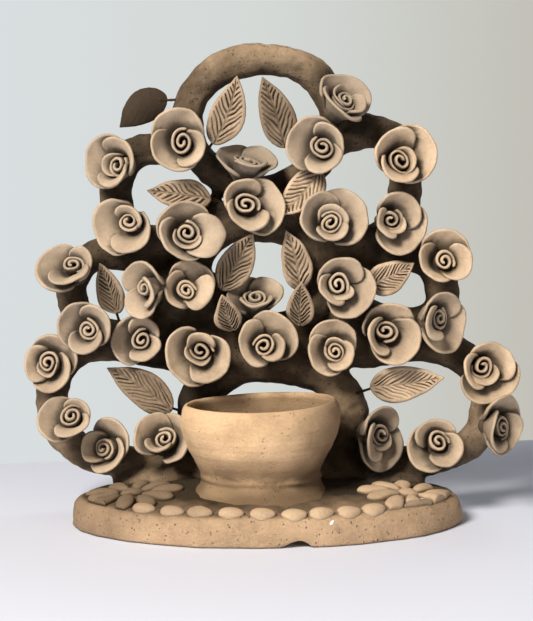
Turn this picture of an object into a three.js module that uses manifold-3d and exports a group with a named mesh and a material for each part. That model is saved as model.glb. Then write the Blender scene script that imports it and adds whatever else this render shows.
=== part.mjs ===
// A hand-built clay tree of life: an oval plinth that carries a thrown bowl and, behind it,
// an open lattice of rolled clay coils dressed with roses and leaves on short wire stems.
// Millimetres. Origin at the middle of the plinth's underside, +X right, +Y back, +Z up.
import * as THREE from "three";
import { mergeVertices } from "three/addons/utils/BufferGeometryUtils.js";
import Module from "manifold-3d";

const wasm = await Module();
wasm.setup();

// Driving dimensions
const GAP = 0.35; // clearance kept between two pieces that touch
const PLINTH_HALF_WIDTH = 113;
const PLINTH_HALF_DEPTH = 70;
const PLINTH_PROFILE = [ // share of the half width, height of the domed top
  [0, 0], [0.985, 0], [1, 2], [1, 12.5], [0.985, 15], [0.94, 16.6], [0.8, 18.6], [0.55, 20.6],
  [0.28, 21.8], [0, 22],
];
const NOTCH = { x: 19, radius: 7, sunk: 4 }; // worn arch under the front edge
const BOWL_CENTRE = [-4.5, -14];
const BOWL_OUTSIDE = [
  [0, 15], [37.5, 15], [37.5, 20.5], [36, 23.5], [34.4, 27], [35.2, 31], [38.8, 38.5],
  [42.4, 48], [44.4, 57], [44.5, 63], [43.6, 68.5], [42.6, 71.2],
];
const BOWL_INSIDE = [[41.3, 72], [40.1, 71], [40.8, 65], [41, 57], [38.6, 47], [33, 37], [22, 31], [0, 29]];
const COIL_PLANE = 36; // how far back the lattice stands
const COIL_RADIUS = 9.6;
const ARCH_RADIUS = 11;
const RING_SECTION = 8; // sides of a coil's cross-section
const CLOSED_STEPS = 26;
const ROSE_SEGMENTS = 10;
const ROSE_LOBE = 0.05; // how far the three petals stand out of the round rim
const ROSE_PROFILE = [ // shares of the rim radius: goblet back, rim, cup, rolled bud
  [0, -0.86], [0.2, -0.8], [0.55, -0.5], [0.86, -0.14], [1, 0], [0.93, 0.05], [0.66, -0.2], [0.4, -0.34],
  [0.34, 0.1], [0, 0.12],
];
const STEM_RADIUS = 0.9;
const STEM_SIDES = 5;
const LEAF_THICKNESS = 3.6;
const LEAF_CUP = 3.2;
const PETAL_COUNT = 10;
const DAISY_RADIUS = 27;
const RELIEF_HEIGHT = 2.6;
const PELLET_X = [-68, -52, -37, -20, -3, 14, 29, 44, 58];
const PELLET_SIZE = [7.2, 3.1, 2.7];
const PELLET_RING = 0.925; // pellets follow the rim at this share of the plinth's half axes

const CLAY = {
  plinth: { color: 0xc79f74, roughness: 0.95, metalness: 0 },
  bowl: { color: 0xd9ab7a, roughness: 0.92, metalness: 0 },
  coil: { color: 0x7d6449, roughness: 0.96, metalness: 0 },
  rose: { color: 0xcdb18b, roughness: 0.88, metalness: 0 },
  leaf: { color: 0xb4946c, roughness: 0.9, metalness: 0 },
  relief: { color: 0xb99a78, roughness: 0.93, metalness: 0 },
};

// Coil centre lines as [x, z] in the lattice plane. Closed ones run counter-clockwise seen from the front.
const COILS = {
  trunk_arch: {
    radius: ARCH_RADIUS,
    line: [
      [-43, 8], [-44, 30], [-44, 52], [-38, 72], [-22, 84], [0, 87], [23, 85], [40, 77], [49, 62],
      [51, 40], [50, 8],
    ],
  },
  centre_ring: {
    closed: true,
    line: [
      [-4, 108], [19, 112], [31, 130], [29, 151], [18, 166], [-4, 172], [-28, 168], [-41, 153],
      [-42, 132], [-30, 113],
    ],
  },
  top_ring: {
    closed: true,
    line: [
      [-3, 191], [17, 199], [34, 213], [41, 233], [33, 255], [16, 267], [-4, 270], [-22, 267],
      [-40, 256], [-49, 234], [-43, 213], [-26, 199],
    ],
  },
  middle_left_loop: {
    closed: true,
    line: [
      [-88, 104], [-66, 110], [-56, 127], [-62, 144], [-88, 154], [-107, 152], [-118, 137],
      [-115, 118], [-105, 108],
    ],
  },
  middle_right_loop: {
    closed: true,
    line: [
      [70, 114], [90, 113], [103, 121], [104, 138], [95, 150], [76, 155], [56, 152], [50, 137], [54, 122],
    ],
  },
  lower_left_loop: {
    line: [
      [-32, 99], [-52, 93], [-72, 95], [-95, 99], [-115, 96], [-127, 83], [-131, 65], [-126, 47],
      [-113, 35], [-93, 29], [-72, 28], [-56, 29],
    ],
  },
  lower_right_loop: {
    line: [
      [34, 101], [54, 94], [76, 97], [98, 98], [119, 92], [131, 77], [133, 59], [127, 44], [113, 34],
      [93, 29], [76, 28], [64, 29],
    ],
  },
  upper_left_loop: {
    line: [
      [-52, 216], [-66, 217], [-80, 214], [-89, 203], [-91, 187], [-86, 169], [-70, 161], [-50, 163],
      [-36, 174], [-27, 185],
    ],
  },
  upper_right_loop: {
    line: [
      [44, 224], [60, 228], [73, 224], [81, 211], [82, 190], [76, 171], [60, 161], [41, 163],
      [26, 176], [22, 188],
    ],
  },
};

// Roses: rim centre [x, y, z], rim diameter, the way the flower looks as [turn right, tilt up]
// in degrees, and its spin.
const ROSES = {
  rose_01: { at: [46, 10, 246], across: 36, look: [35, 35], spin: 20 },
  rose_02: { at: [-51, 6, 220], across: 36, look: [5, 5], spin: 80 },
  rose_03: { at: [-91, 8, 208], across: 34, look: [-22, 0], spin: 10 },
  rose_04: { at: [-11, 17, 211], across: 34, look: [20, 60], spin: 0 },
  rose_05: { at: [30, 5, 217], across: 35, look: [-8, 8], spin: 40 },
  rose_06: { at: [78, 6, 212], across: 36, look: [8, 5], spin: 70 },
  rose_07: { at: [-84, 7, 172], across: 35, look: [-14, 5], spin: 30 },
  rose_08: { at: [-46, 4, 168], across: 35, look: [10, 8], spin: 100 },
  rose_09: { at: [-10, 6, 184], across: 34, look: [10, 10], spin: 15 },
  rose_10: { at: [37, 6, 176], across: 37, look: [0, 15], spin: 55 },
  rose_11: { at: [75, 9, 175], across: 35, look: [10, 5], spin: 25 },
  rose_12: { at: [-116, 8, 149], across: 35, look: [-5, 34], spin: 0 },
  rose_13: { at: [-74, 3, 134], across: 32, look: [-40, 0], spin: 90 },
  rose_14: { at: [-46, 10, 136], across: 31, look: [5, 15], spin: 60 },
  rose_15: { at: [-7, 19, 131], across: 31, look: [5, 50], spin: 35 },
  rose_16: { at: [43, 6, 137], across: 35, look: [0, 8], spin: 75 },
  rose_17: { at: [104, 8, 153], across: 33, look: [5, 15], spin: 45 },
  rose_18: { at: [-106, 5, 111], across: 32, look: [-5, 5], spin: 95 },
  rose_19: { at: [-76, 12, 104], across: 30, look: [5, 5], spin: 20 },
  rose_20: { at: [-40, 6, 97], across: 36, look: [0, 5], spin: 65 },
  rose_21: { at: [-1, 6, 104], across: 34, look: [-5, 10], spin: 5 },
  rose_22: { at: [38, 8, 99], across: 32, look: [0, 5], spin: 85 },
  rose_23: { at: [72, 9, 108], across: 35, look: [8, 10], spin: 50 },
  rose_24: { at: [102, 5, 117], across: 34, look: [34, 5], spin: 30 },
  rose_25: { at: [-130, 13, 90], across: 33, look: [-10, 5], spin: 75 },
  rose_26: { at: [128, 8, 87], across: 36, look: [5, 10], spin: 15 },
  rose_27: { at: [-117, 4, 60], across: 33, look: [-5, 32], spin: 60 },
  rose_28: { at: [-98, 12, 41], across: 33, look: [-34, 10], spin: 40 },
  rose_29: { at: [-63, 5, 48], across: 34, look: [0, 32], spin: 0 },
  rose_30: { at: [67, 8, 48], across: 37, look: [40, 0], spin: 70 },
  rose_31: { at: [100, 8, 43], across: 33, look: [0, 18], spin: 25 },
  rose_32: { at: [142, 13, 53], across: 33, look: [58, -5], spin: 90 },
};

// Leaves: base and tip as [x, y, z], width across, and how far the face leans up and to the right,
// in degrees.
const LEAVES = {
  leaf_01: { base: [-31, 20, 220], tip: [-18, 20, 259], wide: 20, lean: [0, 0] },
  leaf_02: { base: [10, 20, 218], tip: [-3, 20, 258], wide: 20, lean: [0, 0] },
  leaf_03: { base: [-34, 18, 187], tip: [-71, 18, 192], wide: 18, lean: [10, 0] },
  leaf_04: { base: [29, 22, 202], tip: [8, 13, 179], wide: 18, lean: [0, 20] },
  leaf_05: { base: [-27, 19, 134], tip: [-9, 19, 167], wide: 20, lean: [0, 0] },
  leaf_06: { base: [19, 19, 134], tip: [11, 19, 169], wide: 17, lean: [0, 0] },
  leaf_07: { base: [-88, 18, 120], tip: [-98, 19, 149], wide: 15, lean: [0, -15] },
  leaf_08: { base: [-21, 14, 110], tip: [-27, 5, 132], wide: 15, lean: [10, 0] },
  leaf_09: { base: [19, 18, 113], tip: [20, 8, 139], wide: 15, lean: [10, 0] },
  leaf_10: { base: [60, 18, 134], tip: [86, 17, 147], wide: 16, lean: [0, 0] },
  leaf_11: { base: [-58, 21, 62], tip: [-95, 20, 87], wide: 21, lean: [0, 0] },
  leaf_12: { base: [61, 19, 76], tip: [104, 18, 82], wide: 20, lean: [0, 0] },
  leaf_13: { base: [-61, 33, 249], tip: [-88, 30, 230], wide: 17, lean: [50, -20] },
};

// Solids

function solidFrom(geometry) {
  const bare = geometry.index ? geometry.toNonIndexed() : geometry.clone();
  bare.deleteAttribute("normal");
  bare.deleteAttribute("uv");
  const merged = mergeVertices(bare, 1e-3);
  return new wasm.Manifold(
    new wasm.Mesh({
      numProp: 3,
      vertProperties: merged.attributes.position.array,
      triVerts: new Uint32Array(merged.index.array),
    }),
  );
}

function geometryFrom(solid) {
  const mesh = solid.getMesh();
  const geometry = new THREE.BufferGeometry();
  geometry.setAttribute("position", new THREE.BufferAttribute(mesh.vertProperties, 3));
  geometry.setIndex(new THREE.BufferAttribute(mesh.triVerts, 1));
  const flat = geometry.toNonIndexed();
  flat.computeVertexNormals();
  return flat;
}

// Moves each vertex of a geometry to the point that place(x, y, z) gives.
function reshaped(geometry, place) {
  const position = geometry.attributes.position;
  for (let i = 0; i < position.count; i++) {
    position.setXYZ(i, ...place(position.getX(i), position.getY(i), position.getZ(i)));
  }
  return geometry;
}

// A round profile of [radius, height] pairs turned about Z.
function turned(profile, segments) {
  const points = profile.map(([radius, height]) => new THREE.Vector2(radius, height));
  return new THREE.LatheGeometry(points, segments).rotateX(Math.PI / 2);
}

// Coils

function coilCurve(coil) {
  const points = coil.line.map(([x, z]) => new THREE.Vector3(x, COIL_PLANE, z));
  return new THREE.CatmullRomCurve3(points, Boolean(coil.closed), "centripetal");
}

function coilRadius(coil) {
  return coil.radius ?? COIL_RADIUS;
}

function roundSection(radius, sides) {
  const corners = [];
  for (let i = 0; i < sides; i++) {
    const angle = (2 * Math.PI * i) / sides;
    corners.push(new THREE.Vector2(radius * Math.cos(angle), radius * Math.sin(angle)));
  }
  return new THREE.Shape(corners);
}

function openCoil(coil, radius) {
  return new THREE.ExtrudeGeometry(roundSection(radius, RING_SECTION), {
    steps: 2 * coil.line.length,
    bevelEnabled: false,
    extrudePath: coilCurve(coil),
  });
}

// A torus whose round path is bent onto the coil's own centre line.
function closedCoil(coil, radius) {
  const curve = coilCurve(coil);
  const geometry = new THREE.TorusGeometry(2, 1, RING_SECTION, CLOSED_STEPS);
  const front = new THREE.Vector3(0, -1, 0);
  return reshaped(geometry, (x, y, z) => {
    const share = (Math.atan2(y, x) / (2 * Math.PI) + 1) % 1;
    const outward = new THREE.Vector3().crossVectors(front, curve.getTangent(share)).negate().normalize();
    const reach = radius * (Math.hypot(x, y) - 2);
    const centre = curve.getPoint(share);
    return centre.addScaledVector(outward, reach).addScaledVector(front, radius * z).toArray();
  });
}

function coilSolid(coil, grow = 0) {
  const radius = coilRadius(coil) + grow;
  return solidFrom(coil.closed ? closedCoil(coil, radius) : openCoil(coil, radius));
}

// Nearest point on any coil's centre line, with that coil's radius.
function nearestCoil(point) {
  const found = { distance: Infinity };
  for (const coil of Object.values(COILS)) {
    for (const spot of coilCurve(coil).getSpacedPoints(80)) {
      const distance = spot.distanceTo(point) - coilRadius(coil);
      if (distance < found.distance) Object.assign(found, { distance, spot, radius: coilRadius(coil) });
    }
  }
  return found;
}

// A short wire from inside a flower or leaf to just off the coil that holds it, or null where it
// already sits close.
function stemSolid(start, inner) {
  const { spot, radius, distance } = nearestCoil(start);
  if (distance < 1.5) return null;
  const end = start.clone().lerp(spot, 1 - (radius + GAP) / start.distanceTo(spot));
  const along = end.clone().sub(inner);
  const turn = new THREE.Quaternion();
  turn.setFromUnitVectors(new THREE.Vector3(0, 1, 0), along.clone().normalize());
  const wire = new THREE.CylinderGeometry(STEM_RADIUS, STEM_RADIUS, along.length(), STEM_SIDES);
  wire.applyQuaternion(turn);
  wire.translate(...inner.clone().add(end).multiplyScalar(0.5).toArray());
  return wire;
}

// Plinth, bowl and reliefs

function plinthSolid(grow = 0) {
  const grown = PLINTH_PROFILE.map(([share, height]) => [
    share * (1 + grow / PLINTH_HALF_DEPTH),
    height > 0 ? height + grow : 0,
  ]);
  return solidFrom(turned(grown, 40).scale(PLINTH_HALF_WIDTH, PLINTH_HALF_DEPTH, 1));
}

function plinthTop(x, y) {
  const share = Math.hypot(x / PLINTH_HALF_WIDTH, y / PLINTH_HALF_DEPTH);
  const rising = PLINTH_PROFILE.slice(3).reverse();
  const next = rising.findIndex(([edge]) => edge >= share);
  if (next < 1) return rising[rising.length - 1][1];
  const [inner, outer] = [rising[next - 1], rising[next]];
  return THREE.MathUtils.mapLinear(share, inner[0], outer[0], inner[1], outer[1]);
}

function plinth() {
  const notch = new THREE.CylinderGeometry(NOTCH.radius, NOTCH.radius, 30, 16);
  notch.translate(NOTCH.x, -PLINTH_HALF_DEPTH, NOTCH.sunk - NOTCH.radius);
  return geometryFrom(plinthSolid().subtract(solidFrom(notch)));
}

function bowl() {
  const body = turned([...BOWL_OUTSIDE, ...BOWL_INSIDE], 28).translate(...BOWL_CENTRE, 0);
  return geometryFrom(solidFrom(body).subtract(plinthSolid(GAP)));
}

// A flower of round-ended petals lying on the domed top.
function daisy(centreX, centreY, firstPetal) {
  const outline = [];
  const steps = PETAL_COUNT * 6;
  for (let i = 0; i < steps; i++) {
    const angle = (2 * Math.PI * i) / steps;
    const petal = Math.abs(Math.cos((PETAL_COUNT * (angle - firstPetal)) / 2));
    const reach = DAISY_RADIUS * (0.42 + 0.58 * Math.sqrt(petal));
    outline.push(new THREE.Vector2(reach * Math.cos(angle), reach * Math.sin(angle)));
  }
  const slab = new THREE.ExtrudeGeometry(new THREE.Shape(outline), { depth: 1, bevelEnabled: false });
  reshaped(slab, (x, y, z) => {
    const reach = Math.hypot((x + centreX) / PLINTH_HALF_WIDTH, (y + centreY) / PLINTH_HALF_DEPTH);
    const inside = Math.min(1, 0.93 / reach);
    const [px, py] = [(x + centreX) * inside, (y + centreY) * inside];
    return [px, py, plinthTop(px, py) + (z > 0.5 ? RELIEF_HEIGHT : -2)];
  });
  return geometryFrom(solidFrom(slab).subtract(plinthSolid(GAP)));
}

function rimPoint(x) {
  return -PLINTH_HALF_DEPTH * PELLET_RING * Math.sqrt(1 - (x / (PLINTH_HALF_WIDTH * PELLET_RING)) ** 2);
}

// A row of flattened drops along the front rim, joined by the thin band of slip they are pressed into.
function pelletBorder() {
  const ends = [PELLET_X[0], PELLET_X[PELLET_X.length - 1]];
  const band = new THREE.BoxGeometry(1, 2.4, 1, 16, 1, 1);
  reshaped(band, (x, y, z) => {
    const px = THREE.MathUtils.lerp(...ends, x + 0.5);
    const py = rimPoint(px) + y;
    return [px, py, plinthTop(px, py) + (z > 0 ? 1 : -2)];
  });
  let row = solidFrom(band);
  for (const x of PELLET_X) {
    const drop = new THREE.SphereGeometry(1, 8, 5).rotateX(Math.PI / 2).scale(...PELLET_SIZE);
    const slope = Math.atan2(rimPoint(x + 1) - rimPoint(x - 1), 2);
    drop.rotateZ(slope).translate(x, rimPoint(x), plinthTop(x, rimPoint(x)));
    row = row.add(solidFrom(drop));
  }
  return geometryFrom(row.subtract(plinthSolid(GAP)));
}

// Flowers and leaves, each made in its own frame

function roseForm(across) {
  const rim = across / 2;
  const profile = ROSE_PROFILE.map(([radius, height]) => [radius * rim, height * rim]);
  const flower = turned(profile, ROSE_SEGMENTS);
  return reshaped(flower, (x, y, z) => {
    const lobe = 1 + ROSE_LOBE * Math.cos(3 * Math.atan2(y, x)) * Math.min(1, Math.hypot(x, y) / rim);
    return [x * lobe, y * lobe, z];
  });
}

function roseMesh(name, { at, across, look, spin }) {
  const [turn, tilt] = look.map(THREE.MathUtils.degToRad);
  const facing = new THREE.Vector3(Math.sin(turn), -Math.cos(turn), Math.tan(tilt)).normalize();
  const mesh = new THREE.Mesh();
  mesh.position.set(...at);
  mesh.quaternion.setFromUnitVectors(new THREE.Vector3(0, 0, 1), facing);
  mesh.rotateZ(THREE.MathUtils.degToRad(spin));
  const apex = mesh.position.clone().addScaledVector(facing, (ROSE_PROFILE[0][1] * across) / 2);
  const inner = apex.clone().addScaledVector(facing, across / 8);
  return dressed(mesh, name, solidFrom(roseForm(across)), stemSolid(apex, inner), "rose");
}

// A thick pointed blade: base at the origin, tip along +Y, face along +Z, gently cupped with a sunk midrib.
function leafForm(length, width) {
  return reshaped(new THREE.BoxGeometry(2, 1, 1, 4, 8, 1), (x, y, z) => {
    const share = y + 0.5;
    const half = Math.max(0.5, (width / 2) * Math.sin(Math.PI * share ** 0.78) ** 0.7);
    const thick = LEAF_THICKNESS * (0.4 + 0.6 * Math.sin(Math.PI * Math.min(1, share + 0.12)));
    const cup = LEAF_CUP * x * x * Math.sin(Math.PI * share) + LEAF_CUP * (share - 0.45) ** 2;
    const rib = x === 0 && z > 0 ? 0.25 * thick : 0;
    return [x * half, share * length, cup + z * thick * (1 - 0.3 * Math.abs(x)) - rib];
  });
}

function leafMesh(name, { base, tip, wide, lean }) {
  const [from, to] = [new THREE.Vector3(...base), new THREE.Vector3(...tip)];
  const [up, right] = lean.map(THREE.MathUtils.degToRad);
  const along = to.clone().sub(from).normalize();
  const face = new THREE.Vector3(Math.sin(right), -Math.cos(right) * Math.cos(up), Math.sin(up));
  face.addScaledVector(along, -face.dot(along)).normalize();
  const side = new THREE.Vector3().crossVectors(along, face);
  const mesh = new THREE.Mesh();
  mesh.position.copy(from);
  mesh.quaternion.setFromRotationMatrix(new THREE.Matrix4().makeBasis(side, along, face));
  const blade = solidFrom(leafForm(from.distanceTo(to), wide));
  const inner = from.clone().addScaledVector(along, 4);
  return dressed(mesh, name, blade, stemSolid(from, inner), "leaf");
}

// Joins a flower or leaf to its wire and finishes the mesh that already stands in its place.
function dressed(mesh, name, form, wire, slot) {
  mesh.updateMatrixWorld(true);
  const toLocal = mesh.matrixWorld.clone().invert();
  const whole = wire ? form.add(solidFrom(wire.applyMatrix4(toLocal))) : form;
  mesh.name = name;
  mesh.geometry = geometryFrom(whole);
  mesh.material = new THREE.MeshStandardMaterial(CLAY[slot]);
  return mesh;
}

function still(name, geometry, slot) {
  const mesh = new THREE.Mesh(geometry, new THREE.MeshStandardMaterial(CLAY[slot]));
  mesh.name = name;
  return mesh;
}

function lattice() {
  const group = new THREE.Group();
  const cutters = [plinthSolid(GAP)];
  for (const [name, coil] of Object.entries(COILS)) {
    let solid = coilSolid(coil);
    for (const cutter of cutters) solid = solid.subtract(cutter);
    group.add(still(name, geometryFrom(solid), "coil"));
    cutters.push(coilSolid(coil, GAP));
  }
  return group;
}

const tree = new THREE.Group();
tree.add(still("plinth", plinth(), "plinth"));
tree.add(still("bowl", bowl(), "bowl"));
tree.add(still("left_daisy", daisy(-79, -20, 0.2), "relief"));
tree.add(still("right_daisy", daisy(81, -20, 0.5), "relief"));
tree.add(still("pellet_border", pelletBorder(), "relief"));
tree.add(lattice());
for (const [name, rose] of Object.entries(ROSES)) tree.add(roseMesh(name, rose));
for (const [name, leaf] of Object.entries(LEAVES)) tree.add(leafMesh(name, leaf));

export default tree;
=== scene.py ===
"""A clay tree of life: thrown bowl and oval plinth, and behind them coils dressed with clay roses and leaves.

Shapes are worked out in millimetres in the row frame and written as metres.
"""

import math

import bpy
import numpy as np
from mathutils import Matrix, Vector
from mathutils.bvhtree import BVHTree


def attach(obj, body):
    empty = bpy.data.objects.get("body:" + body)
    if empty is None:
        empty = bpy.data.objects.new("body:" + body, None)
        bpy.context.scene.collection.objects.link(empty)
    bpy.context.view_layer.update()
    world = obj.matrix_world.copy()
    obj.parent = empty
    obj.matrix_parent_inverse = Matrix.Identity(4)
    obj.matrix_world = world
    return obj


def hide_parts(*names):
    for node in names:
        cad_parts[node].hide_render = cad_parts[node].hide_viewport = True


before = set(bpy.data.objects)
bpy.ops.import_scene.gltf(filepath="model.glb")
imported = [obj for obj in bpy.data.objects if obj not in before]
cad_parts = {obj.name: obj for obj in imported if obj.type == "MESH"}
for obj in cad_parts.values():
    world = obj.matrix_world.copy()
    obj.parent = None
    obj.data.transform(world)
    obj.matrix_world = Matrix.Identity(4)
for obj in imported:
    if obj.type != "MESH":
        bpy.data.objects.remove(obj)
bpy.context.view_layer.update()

MM = 0.001
COILS = [
    "trunk_arch", "centre_ring", "top_ring", "middle_left_loop", "middle_right_loop",
    "lower_left_loop", "lower_right_loop", "upper_left_loop", "upper_right_loop",
]

# Roses: the way each looks (turned right, tilted up), radius, bud offset, the direction of the small
# wrapping petal, how much darker and greyer its colour is made, and the petals from back to front as
# (direction, half angle, reach, flare). Degrees and millimetres.
ROSES = {
    "rose_01": dict(look=(35, 35), r=18.6, bud=(0, 0), wrap=150, tone=0.6,
                    petals=[(60, 95, 1, .1), (215, 90, .95, .5), (-40, 70, .8, .3)]),
    "rose_02": dict(look=(5, 5), r=18.6, bud=(1.7, .6), wrap=None, tone=0.35,
                    petals=[(100, 98, 1, .3), (232, 98, 1, .2), (-22, 84, .95, .45)]),
    "rose_03": dict(look=(-22, 0), r=17.6, bud=(3.2, -1), wrap=180, tone=0.38,
                    petals=[(165, 98, 1.02, .2), (45, 88, .95, .5), (-75, 88, .95, .3)]),
    "rose_04": dict(look=(20, 60), r=18, bud=(0, 0), wrap=200, tone=0.85,
                    petals=[(140, 95, 1, .2), (10, 90, 1, .3), (-95, 90, .95, .2)]),
    "rose_05": dict(look=(-8, 8), r=18.3, bud=(1.7, .9), wrap=None, tone=0.45,
                    petals=[(150, 98, 1.02, .1), (40, 85, .9, .2), (-65, 92, .97, .4)]),
    "rose_06": dict(look=(8, 5), r=19, bud=(-1.2, -2.3), wrap=0, tone=0,
                    petals=[(20, 98, 1.03, .2), (130, 90, .98, .4), (-110, 90, .97, .4)]),
    "rose_07": dict(look=(-14, 5), r=18, bud=(2.9, 2.6), wrap=None, tone=0.3,
                    petals=[(190, 98, 1.03, .2), (-50, 92, 1, .4), (62, 84, .85, .4)]),
    "rose_08": dict(look=(10, 8), r=18.4, bud=(-.6, 0), wrap=-100, tone=0.35,
                    petals=[(115, 95, 1, .2), (218, 96, 1, .1), (-12, 84, 1.02, .9)]),
    "rose_09": dict(look=(10, 10), r=18.3, bud=(-2.8, .6), wrap=None, tone=0.28,
                    petals=[(0, 98, 1.04, .3), (130, 88, .95, .2), (-110, 95, 1, .4)]),
    "rose_10": dict(look=(0, 15), r=19.3, bud=(-.6, -2), wrap=60, tone=0.35,
                    petals=[(20, 98, 1.02, .3), (160, 100, 1, .05), (-82, 80, .84, .4)]),
    "rose_11": dict(look=(10, 5), r=18.4, bud=(-3, 1.2), wrap=-90, tone=0.2,
                    petals=[(-40, 100, 1.03, .2), (60, 88, .97, .3), (200, 80, .85, .5)]),
    "rose_12": dict(look=(-5, 34), r=18, bud=(1.6, 1.6), wrap=None, tone=0.5,
                    petals=[(180, 98, 1.03, .2), (25, 90, .85, .1), (-80, 86, .95, .6)]),
    "rose_13": dict(look=(-40, 0), r=17, bud=(1.2, 1.8), wrap=None, tone=0.35,
                    petals=[(110, 95, 1, .3), (-100, 92, 1, .3), (0, 80, .9, .5)]),
    "rose_14": dict(look=(5, 15), r=15.7, bud=(-1.5, -1.5), wrap=None, tone=0.18,
                    petals=[(70, 95, 1, .3), (190, 92, 1, .3), (-32, 82, .98, .8)]),
    "rose_15": dict(look=(5, 50), r=17, bud=(0, 0), wrap=None, tone=0.45,
                    petals=[(150, 90, 1, .3), (30, 90, 1, .3), (-90, 92, .95, .2)]),
    "rose_16": dict(look=(0, 8), r=18.2, bud=(-2.2, .6), wrap=-95, tone=0.28,
                    petals=[(-30, 98, 1.03, .2), (98, 90, 1, .3), (205, 84, .92, .3)]),
    "rose_17": dict(look=(5, 15), r=17, bud=(-.6, -.6), wrap=None, tone=0,
                    petals=[(82, 96, 1, .2), (208, 92, 1, .4), (-22, 88, 1, .5)]),
    "rose_18": dict(look=(-5, 5), r=16.6, bud=(.6, .6), wrap=None, tone=0.48,
                    petals=[(150, 96, 1, .2), (32, 90, 1, .3), (-88, 90, .97, .4)]),
    "rose_19": dict(look=(5, 5), r=15.8, bud=(2, .6), wrap=None, tone=0.35,
                    petals=[(180, 96, 1, .1), (62, 88, .95, .4), (-50, 88, 1, .4)]),
    "rose_20": dict(look=(0, 5), r=19, bud=(.6, 2.4), wrap=225, tone=0.15,
                    petals=[(200, 100, 1.03, .2), (-32, 96, 1, .4), (88, 76, .82, .5)]),
    "rose_21": dict(look=(-5, 10), r=17.8, bud=(-1.6, -2), wrap=None, tone=0.18,
                    petals=[(45, 96, 1.02, .3), (188, 94, 1, .4), (-32, 82, .85, .3)]),
    "rose_22": dict(look=(0, 5), r=16.6, bud=(1.5, -.6), wrap=60, tone=0.08,
                    petals=[(88, 98, 1, .4), (214, 98, 1, .3), (-35, 82, .95, .5)]),
    "rose_23": dict(look=(8, 10), r=18.8, bud=(-2.6, 2.2), wrap=None, tone=0.12,
                    petals=[(92, 94, .98, .3), (-45, 100, 1.04, .3), (190, 86, .95, .4)]),
    "rose_24": dict(look=(34, 5), r=18, bud=(-1, 1.2), wrap=None, tone=0.25,
                    petals=[(-40, 98, 1.02, .2), (90, 90, 1, .2), (190, 78, .9, .8)]),
    "rose_25": dict(look=(-10, 5), r=17.2, bud=(-.6, 1.2), wrap=-90, tone=0.25,
                    petals=[(60, 96, 1, .3), (-52, 94, 1, .3), (180, 88, .97, .4)]),
    "rose_26": dict(look=(5, 10), r=18.8, bud=(-1.6, 2.8), wrap=-90, tone=0,
                    petals=[(-60, 100, 1.04, .2), (55, 92, .98, .4), (190, 86, .92, .4)]),
    "rose_27": dict(look=(-5, 32), r=17, bud=(1.4, 2), wrap=None, tone=0.35,
                    petals=[(180, 98, 1.03, .2), (40, 88, .85, .1), (-60, 88, .97, .6)]),
    "rose_28": dict(look=(-34, 10), r=17.4, bud=(-.8, -.6), wrap=None, tone=0.25,
                    petals=[(60, 96, 1, .5), (-50, 90, 1, .4), (190, 86, .95, .3)]),
    "rose_29": dict(look=(0, 32), r=17.5, bud=(1.8, 0), wrap=None, tone=0.3,
                    petals=[(5, 96, 1, .3), (150, 96, 1, .3), (-105, 80, .8, .4)]),
    "rose_30": dict(look=(40, 0), r=19, bud=(1, .9), wrap=-90, tone=0.5,
                    petals=[(-60, 100, 1.02, .2), (90, 92, .97, .3), (200, 80, .9, .8)]),
    "rose_31": dict(look=(0, 18), r=17.3, bud=(.6, 2), wrap=None, tone=0.2,
                    petals=[(200, 94, .98, .3), (100, 92, .95, .3), (-30, 96, 1, .4)]),
    "rose_32": dict(look=(43, -4), r=18, bud=(1.5, 0), wrap=None, tone=0.25,
                    petals=[(60, 96, 1, .3), (-50, 92, 1, .3), (208, 102, 1.02, .25)]),
}

# Leaves: how much darker each one's colour is made, base, tip, width, lean (up, right), whether it has a body
# of its own on its wire, how steep its side veins are, and whether its smooth back shows, painted nearly
# black as shade.
LEAVES = {
    "leaf_01": dict(tone=0.4, base=(-31, 20, 220), tip=(-18, 20, 259), wide=20, lean=(0, 0)),
    "leaf_02": dict(tone=0.75, base=(10, 20, 218), tip=(-3, 20, 258), wide=20, lean=(0, 0)),
    "leaf_03": dict(tone=0.35, base=(-34, 19.9, 187), tip=(-71, 19.9, 192), wide=18, lean=(10, 0)),
    "leaf_04": dict(tone=0, base=(31, 22, 203), tip=(7, 12, 178), wide=21, lean=(15, -12), free=False),
    "leaf_05": dict(tone=0.5, base=(-27, 20.1, 134), tip=(-9, 20.1, 167), wide=20, lean=(0, 0)),
    "leaf_06": dict(tone=0.35, base=(19, 19, 134), tip=(11, 19, 169), wide=17, lean=(0, 0)),
    "leaf_07": dict(tone=0.6, base=(-89.2, 19.2, 120), tip=(-99.2, 19.8, 149), wide=16, lean=(0, -15)),
    "leaf_08": dict(tone=0.4, base=(-21, 14, 110), tip=(-27, 5, 132), wide=15, lean=(10, 0), free=False),
    "leaf_09": dict(tone=0.35, base=(19, 18, 113), tip=(20, 8, 139), wide=15, lean=(10, 0), free=False),
    "leaf_10": dict(tone=0, base=(59, 18, 136), tip=(86, 17, 150), wide=18, lean=(0, 0)),
    "leaf_11": dict(tone=0.62, steep=1.9, base=(-58, 21, 62), tip=(-95, 20, 87), wide=21, lean=(0, 0)),
    "leaf_12": dict(tone=0, steep=1.8, base=(61, 19, 76), tip=(104, 18, 82), wide=20, lean=(0, 0)),
    "leaf_13": dict(tone=0.9, base=(-61, 33, 249), tip=(-88, 30, 230), wide=19, lean=(-25, -25), back=True),
}

BOWL_CENTRE = (-4.5, -14)
DAISIES = {"left_daisy": (-77.5, -23.5, 8), "right_daisy": (80, -23, 26)}
PELLET_X = [-68, -52, -37, -20, -3, 14, 29, 44, 58]
PLINTH_HALF = (113, 70)
PELLET_RING = 0.925
NOTCH_X = 17.5
FRONT_SWELL, SKEW = 0.05, 0.045  # the hand-cut plinth bulges at the front and runs a little to one side
WIRE_RADIUS = 0.8


# Small tools

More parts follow.
